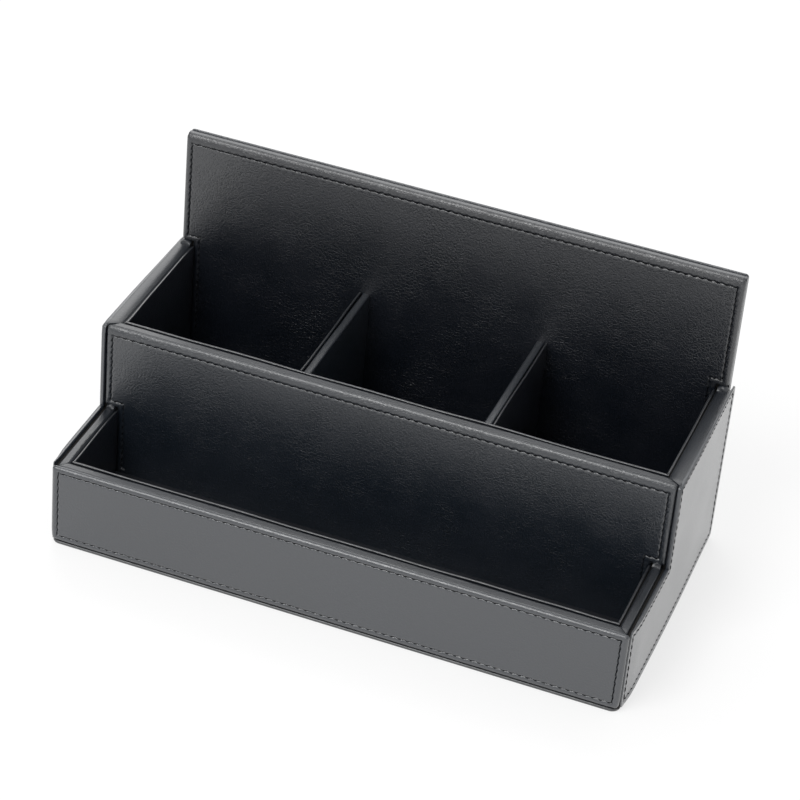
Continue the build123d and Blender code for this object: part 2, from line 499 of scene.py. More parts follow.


# a pattern's high parts stand up, and its low parts are painted darker, as painted shade in its hollows
def addRelief(tree, pattern, look, shader):
    mix = addNode(tree, "Mix", {
        "Factor": pattern,
        "A": look["dark"],
        "B": look["light"],
    }, data_type="RGBA")
    tree.links.new(mix.outputs["Result"], shader.inputs["Base Color"])
    addBump(tree, pattern, look["depth"], shader)


def makeLeather(name, look):
    material, tree, shader, place = startMaterial(name)
    shader.inputs["Coat Weight"].default_value = look["coat"]
    shader.inputs["Coat Roughness"].default_value = look["coatRoughness"]
    shader.inputs["IOR"].default_value = look["ior"]
    wear = addNode(tree, "Group", {
        "Vector": place,
        "Fresh": look["fresh"],
        "Rubbed": look["rubbed"],
        "Low": look["roughness"][0],
        "High": look["roughness"][1],
    }, node_tree=wearGroup)
    grain = addNode(tree, "Group", {
        "Vector": place,
        "Pebbles": look["pebbles"],
        "Creases": look["creases"],
        "Crease Share": look["creaseShare"],
    }, node_tree=grainGroup)
    tree.links.new(wear.outputs["Colour"], shader.inputs["Base Color"])
    tree.links.new(wear.outputs["Roughness"], shader.inputs["Roughness"])
    addBump(tree, grain.outputs["Height"], look["grainDepth"], shader)
    return material


leathers = {name: makeLeather(name, look) for name, look in leatherLooks.items()}

# dark is painted shade in the grooves between the thread's twists
threadLook = {
    "dark": (0.004, 0.004, 0.005, 1),
    "light": (0.012, 0.013, 0.015, 1),
    "twists": 1100.0,
    "unevenness": 1.5,
    "depth": 0.00008,
    "roughness": 0.75,
    "ior": 1.2,
}


def makeThread(look):
    material, tree, shader, place = startMaterial("waxedThread")
    shader.inputs["Roughness"].default_value = look["roughness"]
    shader.inputs["IOR"].default_value = look["ior"]
    twist = addNode(tree, "TexWave", {
        "Vector": place,
        "Scale": look["twists"],
        "Distortion": look["unevenness"],
    }, bands_direction="DIAGONAL")
    addRelief(tree, twist.outputs["Fac"], look, shader)
    return material


blackThread = makeThread(threadLook)

# dark is painted shade in the hollows between the boards' fibres
boardLooks = {
    "dyedBoard": {
        "dark": (0.003, 0.003, 0.003, 1),
        "light": (0.014, 0.012, 0.010, 1),
        "fibres": (900.0, 900.0, 220.0),
        "detail": 5.0,
        "depth": 0.0002,
        "roughness": 0.85,
    },
    "dyedCard": {
        "dark": (0.006, 0.006, 0.006, 1),
        "light": (0.018, 0.017, 0.016, 1),
        "fibres": (1400.0, 700.0, 700.0),
        "detail": 5.0,
        "depth": 0.0001,
        "roughness": 0.8,
    },
}


def makeBoard(name, look):
    material, tree, shader, place = startMaterial(name)
    shader.inputs["Roughness"].default_value = look["roughness"]
    stretch = addNode(tree, "Mapping", {"Vector": place, "Scale": look["fibres"]})
    fibres = addNode(tree, "TexNoise", {
        "Vector": stretch.outputs[0],
        "Scale": 1,
        "Detail": look["detail"],
    })
    addRelief(tree, fibres.outputs["Fac"], look, shader)
    return material


boards = {name: makeBoard(name, look) for name, look in boardLooks.items()}
print("materials mixed")

# sewn skins: cut flat on the bench, then stood up against their boards

skinMaking = {
    "cell": 5.4 * mm,            # grid between the outlines' own lines
    "cornerSteps": 5,
    "digits": 7,                 # decimals of a metre by which the outlines' lines are told apart
    "weldReach": 0.5 * mm,       # what is left of a rounded corner is welded within this distance
    "edgeShare": 0.25,           # the edge bulges furthest at a quarter of the thickness
    "edgeTolerance": 1.02,
    "backBevel": 0.25 * mm,
    "seamCuts": 8,               # extra cuts along the seam in each grid cell
    "puckerDepth": 0.40 * mm,
    "puckerWidth": 0.60 * mm,
    "puckerLevel": 0.25,         # the leather rises by this share of the depth between two holes
    "scallop": 0.20 * mm,        # how far the thread drags the sunk line to each side
    "waveDepth": 0.12 * mm,
    "waveLength": 38.0 * mm,
    "waveReach": 12.0 * mm,      # the waves are full at this distance from the edge
    "shiftReach": 15.0 * mm,     # a moved top seam fades out at this distance from the edge
    "topRollReach": 2.6 * mm,
    "topRollCurve": 1.5,
    "cornerReach": 5.0 * mm,
    "hemReach": 4.8 * mm,        # where a skin has no seam along its foot, it is flat up to here
    # the sunk line: distance from the seam, and height as a share of the thickness
    "groove": (
        (-0.75, 0.985),
        (-0.45, 0.95),
        (-0.24, 0.87),
        (-0.09, 0.75),
        (0.01, 0.73),
        (0.12, 0.82),
        (0.26, 0.94),
        (0.50, 0.995),
        (0.90, 1.00),
        (1.60, 0.985),
    ),
    "seamBand": (-1.30, 1.65),   # rings between these distances from the seam get the extra cuts
    "smoothAngle": 50,
}

# rolled edges, in millimetres: distance from the outline and share of the thickness, how far in the
# seam runs, the radius of the corners, and the ring from which those are sharp again
rollMaking = {
    "plain": {
        "rings": ((0.06, 0.44), (0.25, 0.62), (0.60, 0.80), (1.00, 0.91), (1.35, 0.965), (1.85, 1.00)),
        "seamInset": 3.1,
        "cornerRadius": 1.5,
        "sharpFrom": 1.35,
    },
    "tight": {
        "rings": ((0.05, 0.58), (0.13, 0.88), (0.25, 1.08), (0.42, 1.17), (0.80, 1.14), (1.40, 1.07)),
        "seamInset": 3.1,
        "cornerRadius": 0.9,
        "sharpFrom": 0.80,
    },
}

# what differs from skin to skin, in millimetres: how far the top seam moves in, and how much
# rounder the corners are at the feet and at the top; the inner panels have no seam along their foot,
# and their top edges are rolled back further, by topRoll; the side skins bow outwards, and bed is
# the height of their thread as a share of the thickness
panelChoice = {"topRoll": 0.9, "feet": 0.0, "shoulders": 0.0, "hem": False}
sideChoice = {"topShift": -0.7, "feet": 1.1, "shoulders": 0.9, "roll": "tight", "bed": 0.98}
skinChoices = {
    "front_skin": {"topShift": -0.4, "feet": 0.8, "shoulders": 0.0},
    # the inner panels and the divider wraps take leathers whose colour is painted darker, as painted shade
    "middle_skin": dict(panelChoice, topShift=1.0, leather="shadedPanelLeather"),
    "back_front_skin": dict(panelChoice, topShift=1.1, leather="shadedBackLeather"),
    "back_rear_skin": {"topShift": 0.0, "feet": 0.8, "shoulders": 0.0},
    "right_side_skin": dict(sideChoice, bow=1),
    "left_side_skin": dict(sideChoice, bow=-1),
}

# the side skins stand furthest out beside the middle wall and are drawn in at both ends
bowMaking = {
    "front": 0.85 * mm,
    "frontLength": 14.0 * mm,
    "middle": 0.20 * mm,
    "middleLength": 38.0 * mm,
    "rear": 0.60 * mm,
    "rearLength": 60.0 * mm,
}

stitchMaking = {
    "pitch": 3.57 * mm,
    "length": 2.75 * mm,
    "radius": 0.29 * mm,
    "sides": 6,
    "dip": 0.50 * mm,
    "slant": -20.0,
    "bed": 0.83,                 # height of the thread's line as a share of the leather's thickness
    "rings": (-0.75, -0.35, 0.35, 0.75),
    "slimming": 0.35,            # how much thinner a stitch is at its ends
    "curve": 3,
}

# where the notched panels' outlines leave the boxes in the frame
notchMaking = {
    "sideGap": 0.3 * mm,         # from a panel's foot to the side board
    "middleLift": 0.5 * mm,      # the middle skin's notches lie this far above the tray's edge
    "backLift": 1.5 * mm,        # and the back panel's above the cell box's edge
    "middleReach": 0.6 * mm,     # the middle skin is this much longer at each end
}


def sidesOf(corners):
    return list(zip(corners, corners[1:] + corners[:1]))


# even offset of a square-cornered outline that runs anticlockwise
def insetOutline(corners, distance):
    moved = []
    for index, corner in enumerate(corners):
        before = corners[index - 1]
        after = corners[(index + 1) % len(corners)]
        shift = Vector((0, 0))
        for start, end in ((before, corner), (corner, after)):
            direction = (Vector(end) - Vector(start)).normalized()
            shift += Vector((-direction.y, direction.x)) * distance
        moved.append((corner[0] + shift.x, corner[1] + shift.y))
    return moved


def isInside(point, corners):
    crossings = 0
    for start, end in sidesOf(corners):
        if (start[1] > point[1]) != (end[1] > point[1]):
            across = start[0] + (point[1] - start[1]) * (end[0] - start[0]) / (end[1] - start[1])
            if point[0] < across:
                crossings += 1
    return crossings % 2 == 1


# distance to a side that runs along one of the axes, square-cornered like the offset above
def sideDistance(point, start, end):
    alongAxis = 0 if abs(end[0] - start[0]) > abs(end[1] - start[1]) else 1
    low = min(start[alongAxis], end[alongAxis])
    high = max(start[alongAxis], end[alongAxis])
    beside = abs(point[1 - alongAxis] - start[1 - alongAxis])
    beyond = max(low - point[alongAxis], point[alongAxis] - high, 0)
    return max(beside, beyond)


def outlineDistance(point, corners):
    return min(sideDistance(point, start, end) for start, end in sidesOf(corners))


def isConvex(corners, index):
    before = Vector(corners[index]) - Vector(corners[index - 1])
    after = Vector(corners[(index + 1) % len(corners)]) - Vector(corners[index])
    return before.cross(after) > 0


# the rounded corners have shrunk to almost nothing here, so each becomes one vertex on the even offset
def sharpenCorners(skin, corners, inset, reach):
    bpy.ops.mesh.remove_doubles(threshold=reach)
    offset = insetOutline(corners, inset)
    sharp = [Vector(offset[index]) for index in range(len(corners)) if isConvex(corners, index)]
    mesh = bmesh.from_edit_mesh(skin.data)
    for vertex in mesh.verts:
        if vertex.select:
            for corner in sharp:
                if (vertex.co.xy - corner).length < reach:
                    vertex.co.xy = corner
    bmesh.update_edit_mesh(skin.data)


def cutSkin(name, corners, thickness, making):
    bpy.ops.mesh.primitive_plane_add(size=1)
    skin = bpy.context.object
    skin.name = name
    lines = [sorted({round(corner[axis], making["digits"]) for corner in corners}) for axis in (0, 1)]
    skin.scale = (lines[0][-1] - lines[0][0], lines[1][-1] - lines[1][0], 1)
    skin.location = ((lines[0][-1] + lines[0][0]) / 2, (lines[1][-1] + lines[1][0]) / 2, 0)
    applyPlace(skin)
    openEdit(skin)
    for axis in (0, 1):
        for low, high in zip(lines[axis], lines[axis][1:]):
            cutEvenly(axis, low, high, making["cell"])
        for place in lines[axis][1:-1]:
            cutAcross(axis, place)
    pick(skin, "faces", lambda face: not isInside(face.calc_center_median(), corners))
    bpy.ops.mesh.delete(type="FACE")

    # rounded outer corners
    outer = [Vector(corner) for index, corner in enumerate(corners) if isConvex(corners, index)]
    pick(skin, "verts", lambda vertex: any((vertex.co.xy - corner).length < near for corner in outer))
    bpy.ops.mesh.bevel(
        offset=making["cornerRadius"],
        segments=making["cornerSteps"],
        affect="VERTICES",
        clamp_overlap=False,
    )

    # rolled edge, sunk seam and the field inside it, ring by ring
    bpy.ops.mesh.select_mode(type="FACE")
    bpy.ops.mesh.select_all(action="SELECT")
    insetBefore = 0
    heightBefore = making["edgeShare"] * thickness
    bpy.ops.transform.translate(value=(0, 0, heightBefore))
    for inset, share in making["profile"]:
        bpy.ops.mesh.inset(
            thickness=inset * mm - insetBefore,
            use_boundary=True,
            use_even_offset=True,
        )
        bpy.ops.transform.translate(value=(0, 0, share * thickness - heightBefore))
        insetBefore = inset * mm
        heightBefore = share * thickness
        if inset == making["sharpFrom"]:
            sharpenCorners(skin, corners, insetBefore, making["weldReach"])

    # short edges along the seam
    bandLow, bandHigh = making["seamBand"]

    def runsAlongSeam(edge):
        ends = [outlineDistance(vertex.co.xy, corners) for vertex in edge.verts]
        inBand = bandLow * mm < min(ends) and max(ends) < bandHigh * mm
        return inBand and abs(ends[0] - ends[1]) < near

    pick(skin, "edges", runsAlongSeam)
    bpy.ops.mesh.subdivide(number_cuts=making["seamCuts"])

    # the back, with a small bevel
    pick(skin, "edges", lambda edge: edge.is_boundary)
    drop = making["backBevel"] - making["edgeShare"] * thickness
    bpy.ops.mesh.extrude_edges_move(TRANSFORM_OT_translate={"value": (0, 0, drop)})
    bpy.ops.mesh.edge_face_add()
    bpy.ops.mesh.select_mode(type="FACE")
    bpy.ops.mesh.inset(thickness=making["backBevel"], use_even_offset=True)
    bpy.ops.transform.translate(value=(0, 0, -making["backBevel"]))
    turnFacesOut()
    closeEdit()
    return skin


# moves the top seam in and rounds the chosen corners further, within the skin's own plane
def bendPlan(spot, corners, making, choice):
    bottom = min(corner[1] for corner in corners)
    top = max(corner[1] for corner in corners)
    drop = top - spot.y
    seam = making["seamInset"]
    rising = smoothStep(drop / seam)
    fading = smoothStep((making["shiftReach"] - drop) / (making["shiftReach"] - seam))
    spot.y -= choice["topShift"] * mm * min(rising, fading)
    middle = Vector((sum(corner[0] for corner in corners) / len(corners), (bottom + top) / 2))
    for index, corner in enumerate(corners):
        if not isConvex(corners, index):
            continue
        growth = choice["feet"] if abs(corner[1] - bottom) < near else choice["shoulders"]
        away = (spot - Vector(corner)).length / making["cornerReach"]
        if growth and away < 1:
            inward = Vector((
                math.copysign(1, middle.x - corner[0]),
                math.copysign(1, middle.y - corner[1]),
            )).normalized()
            spot += inward * growth * mm * (1 - away) ** 2


sideLow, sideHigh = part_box("right_side_skin")
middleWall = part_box("middle_skin")[0][1]


# how far a side skin's outer face stands out at this place
def bowAt(along, bow):
    out = bow["middle"] * math.exp(-(((along - middleWall) / bow["middleLength"]) ** 2))
    out -= bow["front"] * (1 - smoothStep((along - sideLow[1]) / bow["frontLength"]))
    out -= bow["rear"] * smoothStep((along - sideHigh[1] + bow["rearLength"]) / bow["rearLength"])
    return out


# pulls the leather in at the needle holes and lets it wave a little between them
def settleSkin(skin, corners, thickness, making, stitching, choice, seed):
    seam = insetOutline(corners, making["seamInset"])
    foot = min(corner[1] for corner in corners)
    top = max(corner[1] for corner in corners)
    for vertex in skin.data.vertices:
        spot = vertex.co.xy
        rolled = max(0, 1 - (top - spot.y) / making["topRollReach"]) ** making["topRollCurve"]
        raised = max(0, vertex.co.z / thickness)
        if not choice.get("hem", True) and spot.y - foot < making["hemReach"]:
            clearSide = min(sideDistance(spot, *side) for side in sidesOf(corners)[1:])
            if vertex.co.z > making["edgeShare"] * thickness and clearSide > making["hemReach"]:
                vertex.co.z = thickness
        elif vertex.co.z > making["edgeShare"] * thickness * making["edgeTolerance"]:
            start, end = min(sidesOf(seam), key=lambda side: sideDistance(spot, *side))
            length = (Vector(end) - Vector(start)).length
            direction = (Vector(end) - Vector(start)) / length
            inward = Vector((-direction.y, direction.x))
            count = max(1, round(length / stitching["pitch"]))
            phase = (spot - Vector(start)).dot(direction) * count / length
            away = sideDistance(spot, start, end)
            nearSeam = math.exp(-((away / making["puckerWidth"]) ** 2))
            hole = 0.5 + 0.5 * math.cos(2 * math.pi * phase)
            vertex.co.z -= making["puckerDepth"] * nearSeam * (hole - making["puckerLevel"])
            free = min(1, outlineDistance(spot, corners) / making["waveReach"])
            vertex.co.z += making["waveDepth"] * free * wander(vertex.co, making["waveLength"], seed)
            spot -= inward * making["scallop"] * nearSeam * (2 * (phase - math.floor(phase)) - 1)
        bendPlan(spot, corners, making, choice)
        vertex.co.xy = spot
        vertex.co.z -= min(1, raised) * rolled * choice.get("topRoll", 0) * mm
        if "bow" in choice:
            vertex.co.z += raised * bowAt(spot.x * choice["bow"], bowMaking)


def settleThread(thread, corners, making, choice):
    for vertex in thread.data.vertices:
        spot = vertex.co.xy
        bendPlan(spot, corners, making, choice)
        vertex.co.xy = spot
        if "bow" in choice:
            vertex.co.z += choice["bed"] * bowAt(spot.x * choice["bow"], bowMaking)


def makeStitch(stitching):
    bpy.ops.mesh.primitive_cylinder_add(
        vertices=stitching["sides"],
        radius=stitching["radius"],
        depth=stitching["length"],
        rotation=(0, math.radians(90), 0),
    )
    stitch = bpy.context.object
    stitch.name = "stitch"
    applyPlace(stitch)
    half = stitching["length"] / 2
    openEdit(stitch)
    for share in stitching["rings"]:
        cutAcross(0, share * half)
    closeEdit()
    for vertex in stitch.data.vertices:
        bend = (abs(vertex.co.x) / half) ** stitching["curve"]
        slim = 1 - stitching["slimming"] * bend
        vertex.co.y *= slim
        vertex.co.z = vertex.co.z * slim - stitching["dip"] * bend
    return stitch


def sewSeam(name, corners, thickness, making, stitching, stitch, choice):
    seam = insetOutline(corners, making["seamInset"])
    foot = min(corner[1] for corner in seam)
    copies = []
    for start, end in sidesOf(seam):
        if not choice.get("hem", True) and max(start[1], end[1]) < foot + near:
            continue
        run = Vector(end) - Vector(start)
        count = max(1, round(run.length / stitching["pitch"]))
        angle = math.atan2(run.y, run.x) + math.radians(stitching["slant"])
        for index in range(count):
            middle = Vector(start) + run * (index + 0.5) / count
            copy = stitch.copy()
            copy.data = stitch.data.copy()
            bpy.context.collection.objects.link(copy)
            spot = Vector((middle.x, middle.y, stitching["bed"] * thickness))
            copy.matrix_world = Matrix.Translation(spot) @ Matrix.Rotation(angle, 4, "Z")
            copies.append(copy)
    chooseOnly(copies)
    bpy.ops.object.join()
    thread = bpy.context.object
    thread.name = name
    applyPlace(thread)
    return thread


def standUp(pieces, turn, spot, angle):
    for piece in pieces:
        piece.rotation_euler = (math.radians(90), 0, math.radians(turn))
        piece.location = spot
        applyPlace(piece)
        smoothPiece(piece, angle)


# the corners of a box seen from the front, anticlockwise
def plainOutline(low, high):
    return [(low[0], low[2]), (high[0], low[2]), (high[0], high[2]), (low[0], high[2])]


# for each skin: its outline, its turn about the vertical, where it stands and its thickness
def skinOutlines(notch):
    frontLow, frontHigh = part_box("front_skin")
    middleLow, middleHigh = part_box("middle_skin")
    panelLow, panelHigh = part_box("back_front_skin")
    rearLow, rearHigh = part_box("back_rear_skin")
    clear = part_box("right_side_board")[0][0] - notch["sideGap"]
    reach = Vector((notch["middleReach"], 0, 0))
    middleLevel = frontHigh[2] + notch["middleLift"]
    backLevel = middleHigh[2] + notch["backLift"]

    def notched(low, high, level):
        return [
            (-clear, low[2]),
            (clear, low[2]),
            (clear, level),
            (high[0], level),
            (high[0], high[2]),
            (low[0], high[2]),
            (low[0], level),
            (-clear, level),
        ]

    stepped = [
        (sideLow[1], sideLow[2]),
        (sideHigh[1], sideLow[2]),
        (sideHigh[1], sideHigh[2]),
        (middleLow[1], sideHigh[2]),
        (middleLow[1], frontHigh[2]),
        (sideLow[1], frontHigh[2]),
    ]
    mirrored = [(-across, up) for across, up in reversed(stepped)]

    def facing(low, high, corners):
        return corners, 0, (0, high[1], 0), high[1] - low[1]

    wide = notched(Vector(middleLow) - reach, Vector(middleHigh) + reach, middleLevel)
    return {
        "front_skin": facing(frontLow, frontHigh, plainOutline(frontLow, frontHigh)),
        "middle_skin": facing(middleLow, middleHigh, wide),
        "back_front_skin": facing(panelLow, panelHigh, notched(panelLow, panelHigh, backLevel)),
        "back_rear_skin": (
            plainOutline(rearLow, rearHigh),
            180,
            (0, rearLow[1], 0),
            rearHigh[1] - rearLow[1],
        ),
        "right_side_skin": (stepped, 90, (sideLow[0], 0, 0), sideHigh[0] - sideLow[0]),
        "left_side_skin": (mirrored, -90, (-sideLow[0], 0, 0), sideHigh[0] - sideLow[0]),
    }


# the making of one skin, with its own rolled edge
def rolledMaking(making, roll):
    seam = roll["seamInset"]
    return dict(
        making,
        profile=list(roll["rings"]) + [(seam + offset, share) for offset, share in making["groove"]],
        seamInset=seam * mm,
        seamBand=[seam + offset for offset in making["seamBand"]],
        cornerRadius=roll["cornerRadius"] * mm,
        sharpFrom=roll["sharpFrom"],
    )


def makeSkins(allMaking, allStitching):
    stitch = makeStitch(allStitching)
    for seed, (node, (corners, turn, spot, thickness)) in enumerate(skinOutlines(notchMaking).items()):
        choice = skinChoices[node]
        making = rolledMaking(allMaking, rollMaking[choice.get("roll", "plain")])
        stitching = dict(allStitching, bed=choice.get("bed", allStitching["bed"]))
        skin = cutSkin(node.replace("skin", "leather"), corners, thickness, making)
        settleSkin(skin, corners, thickness, making, stitching, choice, seed)
        thread = sewSeam(
            node.replace("skin", "seam"), corners, thickness, making, stitching, stitch, choice
        )
        settleThread(thread, corners, making, choice)
        standUp([skin, thread], turn, spot, making["smoothAngle"])
        dress(skin, leathers[choice.get("leather", "skinLeather")], "skin_leather", node)
        dress(thread, blackThread, "thread")
        print("sewn", node, len(skin.data.polygons), len(thread.data.polygons))
    bpy.data.objects.remove(stitch)


makeSkins(skinMaking, stitchMaking)

# rolled rim strips, with their inner edge rounder than their outer one, mitred at the corners

stripMaking = {
    "segment": 4.0 * mm,
    "widthCuts": 1.0 * mm,
    "innerRadius": 1.3 * mm,
    "outerRadius": 0.8 * mm,
    "lap": 0.0,                  # how far the outer edge laps over the skin beside it
    "lift": 0.0,
    "reach": 0.3 * mm,           # how far the inner edge reaches past the strip's own node
    "ridge": 0.5,
    "drop": 0.0,                 # how far the inner edge lies below the ridge
    "outerDrop": 0.0,
    "roundSteps": 5,
    "mitreGap": 0.10 * mm,
    "endBevel": 0.18 * mm,
    "endSteps": 2,
    "softAngle": 40,
    "wave": 0.22 * mm,
    "riseShare": 0.5,            # the strips wave up and down half as much as sideways
    "waveLength": 26.0 * mm,
    "sidewaysSeed": 20,
    "seeds": {
        "front": 1,
        "middle": 2,
        "right_lower": 5,
        "left_lower": 3,
        "right_upper": 8,
        "left_upper": 6,
        "back": 9,
    },
}

# the upper side strips are rolled over the side skins' top edges, with a rounded back
lappedStrip = {
    "innerRadius": 1.7 * mm,
    "outerRadius": 0.45 * mm,
    "lap": 1.25 * mm,
    "lift": 0.45 * mm,
    "reach": 0.0,
    "ridge": 0.66,               # place of the highest line, as a share of the width from the inside
    "drop": 1.4 * mm,
    "outerDrop": 0.22 * mm,
    "wave": 0.14 * mm,
}


# inner is -1 or 1, the side on which the inner edge lies; ends holds, for each cut end, the inner
# and the outer point of its mitre
def makeStrip(name, inner, ends, making):
    node = name + "_rim_strip"
    seed = making["seeds"][name]
    low, high = [Vector(corner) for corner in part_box(node)]
    along = longAxis(low, high)
    across = 1 - along
    inside, outside = (low, high) if inner < 0 else (high, low)
    inside[across] += inner * making["reach"]
    outside[across] -= inner * making["lap"]
    high[2] += making["lift"]
    strip = addBlock(node.replace("strip", "roll"), low, high)
    openEdit(strip)
    cutEvenly(along, low[along], high[along], making["segment"])
    cutEvenly(across, low[across], high[across], making["widthCuts"])
    for place, radius in (
        (low[across], making["innerRadius"] if inner < 0 else making["outerRadius"]),
        (high[across], making["innerRadius"] if inner > 0 else making["outerRadius"]),
    ):
        pick(strip, "edges", lambda edge: (
            runsAlong(edge, along) and liesAt(edge, 2, high[2]) and liesAt(edge, across, place)
        ))
        roundEdges(radius, making["roundSteps"])
    middle = (low + high) / 2
    for mitreStart, mitreEnd in ends:
        run = Vector(mitreEnd) - Vector(mitreStart)
        normal = Vector((run.y, -run.x, 0)).normalized()
        if normal.dot(middle - Vector((*mitreStart, middle.z))) > 0:
            normal = -normal
        bpy.ops.mesh.select_all(action="SELECT")
        bpy.ops.mesh.bisect(
            plane_co=Vector((*mitreStart, 0)) - normal * making["mitreGap"],
            plane_no=normal,
            clear_outer=True,
            use_fill=True,
        )
    turnFacesOut()
    closeEdit()
    for vertex in strip.data.vertices:
        lift = smoothStep((vertex.co.z - low[2]) / (high[2] - low[2]))
        width = (vertex.co[across] - inside[across]) / (outside[across] - inside[across])
        if width < making["ridge"]:
            vertex.co.z -= making["drop"] * lift * (1 - width / making["ridge"]) ** 2
        else:
            beyond = (width - making["ridge"]) / (1 - making["ridge"])
            vertex.co.z -= making["outerDrop"] * lift * beyond ** 2
        rise = wander(vertex.co, making["waveLength"], seed)
        vertex.co.z += making["wave"] * making["riseShare"] * lift * rise
        sway = wander(vertex.co, making["waveLength"], seed + making["sidewaysSeed"])
        vertex.co[across] += making["wave"] * lift * sway
    softenPiece(strip, making["endBevel"], making["endSteps"], making["softAngle"])
    dress(strip, leathers["stripLeather"], "strip_leather", node)


def makeStrips(making):
    corners = {}
    for tier, wall in (("lower", "front"), ("upper", "middle")):
        wallLow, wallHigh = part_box(wall + "_rim_strip")
        sideStripLow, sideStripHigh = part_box("right_" + tier + "_rim_strip")
        corners[tier] = ((sideStripLow[0], wallHigh[1]), (sideStripHigh[0], wallLow[1]))

    def mitre(tier, side):
        return [(side * across, depth) for across, depth in corners[tier]]

    lapped = dict(making, **lappedStrip)
    plainSide = dict(making, reach=0.0, innerRadius=lappedStrip["innerRadius"])
    makeStrip("front", 1, [mitre("lower", 1), mitre("lower", -1)], making)
    makeStrip("middle", 1, [mitre("upper", 1), mitre("upper", -1)], making)
    for side, word in ((1, "right"), (-1, "left")):
        makeStrip(word + "_lower", -side, [mitre("lower", side)], plainSide)
        makeStrip(word + "_upper", -side, [mitre("upper", side)], lapped)
    makeStrip("back", 1, [], dict(making, innerRadius=making["outerRadius"], reach=0.0))
    print("rim strips rolled")


makeStrips(stripMaking)

# each side strip's end is turned up and tucked behind the panel's notch in a small soft fold

foldMaking = {
    "length": 2.8 * mm,
    "rise": 2.2 * mm,
    "sunk": 0.5 * mm,
    "sideGap": 0.4 * mm,
    "cell": 0.7 * mm,
    "round": 2.0 * mm,
    "roundSteps": 7,
    "endDrop": 0.9 * mm,
    "endReach": 1.6 * mm,
    "wave": 1.1 * mm,
    "waveLength": 2.4 * mm,
    "firstSeed": 60,
    "riseSeed": 3,
    "softWidth": 0.4 * mm,
    "softSteps": 3,
    "softAngle": 60,
}


def makeFold(name, making, seed):
    low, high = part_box(name + "_rim_strip")
    foldLow = Vector((low[0] + making["sideGap"], high[1] - making["length"], high[2] - making["sunk"]))
    foldHigh = Vector((high[0] - making["sideGap"], high[1], high[2] + making["rise"]))
    fold = addBlock(name + "_fold", foldLow, foldHigh)
    openEdit(fold)
    pick(fold, "edges", lambda edge: (
        runsAlong(edge, 0) and liesAt(edge, 2, foldHigh[2]) and liesAt(edge, 1, foldLow[1])
    ))
    roundEdges(making["round"], making["roundSteps"])
    for axis in (0, 1, 2):
        cutEvenly(axis, foldLow[axis], foldHigh[axis], making["cell"])
    closeEdit()
    for vertex in fold.data.vertices:
        lift = smoothStep((vertex.co.z - foldLow[2]) / (foldHigh[2] - foldLow[2]))
        front = smoothStep((foldHigh[1] - vertex.co.y) / making["length"])
        place = vertex.co.copy()
        ends = min(place.x - foldLow[0], foldHigh[0] - place.x)
        vertex.co.z -= making["endDrop"] * lift * (1 - smoothStep(ends / making["endReach"]))
        sway = wander(place, making["waveLength"], seed)
        rise = wander(place, making["waveLength"], seed + making["riseSeed"])
        vertex.co.y += making["wave"] * front * lift * sway
        vertex.co.z += making["wave"] * front * lift * rise
    softenPiece(fold, making["softWidth"], making["softSteps"], making["softAngle"])
    dress(fold, leathers["stripLeather"], "strip_leather")


foldNames = ("left_lower", "right_lower", "left_upper", "right_upper")
for seed, name in enumerate(foldNames, foldMaking["firstSeed"]):
    makeFold(name, foldMaking, seed)
print("strip ends folded")

# upright linings: thin sheets with a turned top edge that is never quite straight

liningMaking = {
    "cell": 6.0 * mm,
    "edgeShare": 0.42,
    "edgeSteps": 4,
    "wave": 0.45 * mm,
    "rise": 0.16 * mm,
    "waveLength": 30.0 * mm,
    "uprightShare": 0.4,         # height counts for less, so that the waves run down the lining
    "freeReach": 8.0 * mm,       # a lining is held at its ends and waves freely from here on
    "freeCurve": 3,              # and it waves mostly near its top edge
    "riseSeed": 30,
    "smoothAngle": 40,
    "nodes": (
        "tray_front_lining",
        "tray_left_lining",
        "tray_right_lining",
        "cell_front_lining",
        "left_cell_side_lining",
        "right_cell_side_lining",
        "left_divider_lining",
        "right_divider_lining",
    ),
}


def makeLining(node, making, seed):
    low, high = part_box(node)
    lining = addBlock(node.replace("lining", "liner"), low, high)
    along = longAxis(low, high)
    across = 1 - along
    thickness = high[across] - low[across]
    openEdit(lining)
    for axis in (along, 2):
        cutEvenly(axis, low[axis], high[axis], making["cell"])
    pick(lining, "edges", lambda edge: runsAlong(edge, along) and liesAt(edge, 2, high[2]))
    roundEdges(making["edgeShare"] * thickness, making["edgeSteps"])
    closeEdit()
    for vertex in lining.data.vertices:
        height = (vertex.co.z - low[2]) / (high[2] - low[2])
        ends = min(vertex.co[along] - low[along], high[along] - vertex.co[along])
        free = height ** making["freeCurve"] * smoothStep(ends / making["freeReach"])
        place = (vertex.co[along], 0, vertex.co.z * making["uprightShare"])
        sway = wander(place, making["waveLength"], seed)
        rise = wander(place, making["waveLength"], seed + making["riseSeed"])
        vertex.co[across] += making["wave"] * free * sway
        vertex.co.z += making["rise"] * free * rise
    smoothPiece(lining, making["smoothAngle"])
    dress(lining, leathers["liningLeather"], "lining_leather", node)


for seed, node in enumerate(liningMaking["nodes"]):
    makeLining(node, liningMaking, seed)
print("linings fitted")

# divider wraps: one strip of leather folded over the top of each divider

wrapMaking = {
    "cell": 7.0 * mm,
    "shoulder": 0.8 * mm,
    "shoulderSteps": 4,
    "crown": 0.12 * mm,
    "wave": 0.25 * mm,
    "waveLength": 24.0 * mm,
    "freeReach": 6.0 * mm,
    "seeds": {"left": 41, "right": 52},
    "riseSeed": 5,
    "smoothAngle": 45,
}


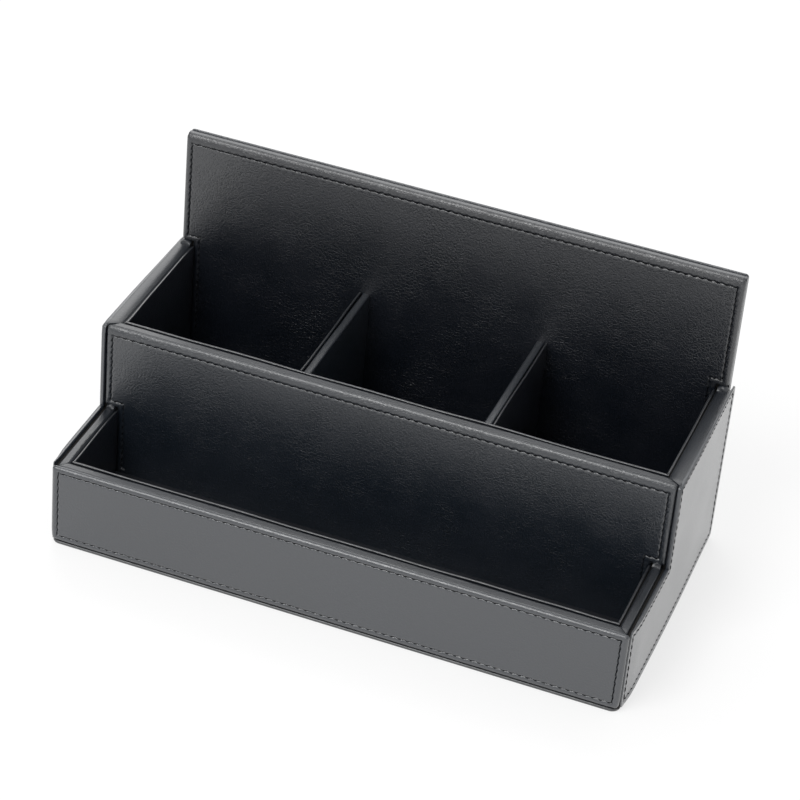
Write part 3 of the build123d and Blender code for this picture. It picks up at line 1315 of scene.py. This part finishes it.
def makeWrap(side, making):
    node = side + "_divider_wrap"
    seed = making["seeds"][side]
    low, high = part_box(node)
    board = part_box(side + "_divider_board")
    thickness = ((high[0] - low[0]) - (board[1][0] - board[0][0])) / 2
    middle = (low[0] + high[0]) / 2
    bpy.ops.mesh.primitive_plane_add(size=1, rotation=(0, math.radians(90), 0))
    wrap = bpy.context.object
    wrap.name = side + "_divider_cover"
    wrap.scale = (high[2] - low[2], high[1] - low[1], 1)
    wrap.location = (low[0], (low[1] + high[1]) / 2, (low[2] + high[2]) / 2)
    applyPlace(wrap)
    openEdit(wrap)
    pick(wrap, "edges", lambda edge: liesAt(edge, 2, high[2]))
    for step in ((high[0] - low[0], 0, 0), (0, 0, low[2] - high[2])):
        bpy.ops.mesh.extrude_edges_move(TRANSFORM_OT_translate={"value": step})
    turnFacesOut()
    pick(wrap, "edges", lambda edge: runsAlong(edge, 1) and liesAt(edge, 2, high[2]))
    roundEdges(making["shoulder"], making["shoulderSteps"])
    for axis in (1, 2):
        cutEvenly(axis, low[axis], high[axis], making["cell"])
    cutAcross(0, middle)
    closeEdit()
    folded = wrap.modifiers.new("leather", "SOLIDIFY")
    folded.thickness = thickness
    folded.offset = -1
    chooseOnly([wrap])
    bpy.ops.object.modifier_apply(modifier=folded.name)
    for vertex in wrap.data.vertices:
        ends = min(vertex.co.y - low[1], high[1] - vertex.co.y)
        height = (vertex.co.z - low[2]) / (high[2] - low[2])
        free = smoothStep(height) * smoothStep(ends / making["freeReach"])
        if abs(vertex.co.x - middle) < near:
            vertex.co.z += making["crown"]
        place = (0, vertex.co.y, 0)
        sway = wander(place, making["waveLength"], seed)
        rise = wander(place, making["waveLength"], seed + making["riseSeed"])
        vertex.co.x += making["wave"] * free * sway
        vertex.co.z += making["wave"] * free * rise
    smoothPiece(wrap, making["smoothAngle"])
    dress(wrap, leathers["shadedPanelLeather"], "strip_leather", node)
    print("divider covered", [round(size / mm, 2) for size in wrap.dimensions])


for wrapSide in wrapMaking["seeds"]:
    makeWrap(wrapSide, wrapMaking)

# base: a leather-covered plate whose rounded rim shows under the skins

baseMaking = {
    "spread": 0.45 * mm,         # the covering stands this far outside the plate
    "rise": 0.25 * mm,
    "cornerRadius": 4.0 * mm,
    "cornerSteps": 8,
    "rimShare": 0.45,
    "rimSteps": 4,
    "smoothAngle": 40,
}


def makeBase(making):
    low, high = [Vector(corner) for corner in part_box("base_skin")]
    spread = Vector((making["spread"], making["spread"], 0))
    low -= spread
    high += spread + Vector((0, 0, making["rise"]))
    base = addBlock("base_cover", low, high)
    openEdit(base)
    pick(base, "edges", lambda edge: runsAlong(edge, 2))
    roundEdges(making["cornerRadius"], making["cornerSteps"])
    pick(base, "edges", lambda edge: liesAt(edge, 2, low[2]) or liesAt(edge, 2, high[2]))
    roundEdges(making["rimShare"] * (high[2] - low[2]), making["rimSteps"])
    closeEdit()
    smoothPiece(base, making["smoothAngle"])
    dress(base, leathers["baseLeather"], "base_leather", "base_skin")
    print("base covered")


makeBase(baseMaking)

# every node gets the finish of its kind; the boards and the floor linings keep their own shapes

nodeFinishes = {
    "divider_board": boards["dyedCard"],
    "board": boards["dyedBoard"],
    "floor_lining": leathers["floorLeather"],
    "skin": leathers["skinLeather"],
    "strip": leathers["stripLeather"],
    "wrap": leathers["stripLeather"],
    "lining": leathers["liningLeather"],
}


def finishNodes(finishes):
    for name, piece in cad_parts.items():
        ending = next(word for word in finishes if name.endswith(word))
        piece.data.materials.clear()
        piece.data.materials.append(finishes[ending])


finishNodes(nodeFinishes)
print("boards and floors finished")
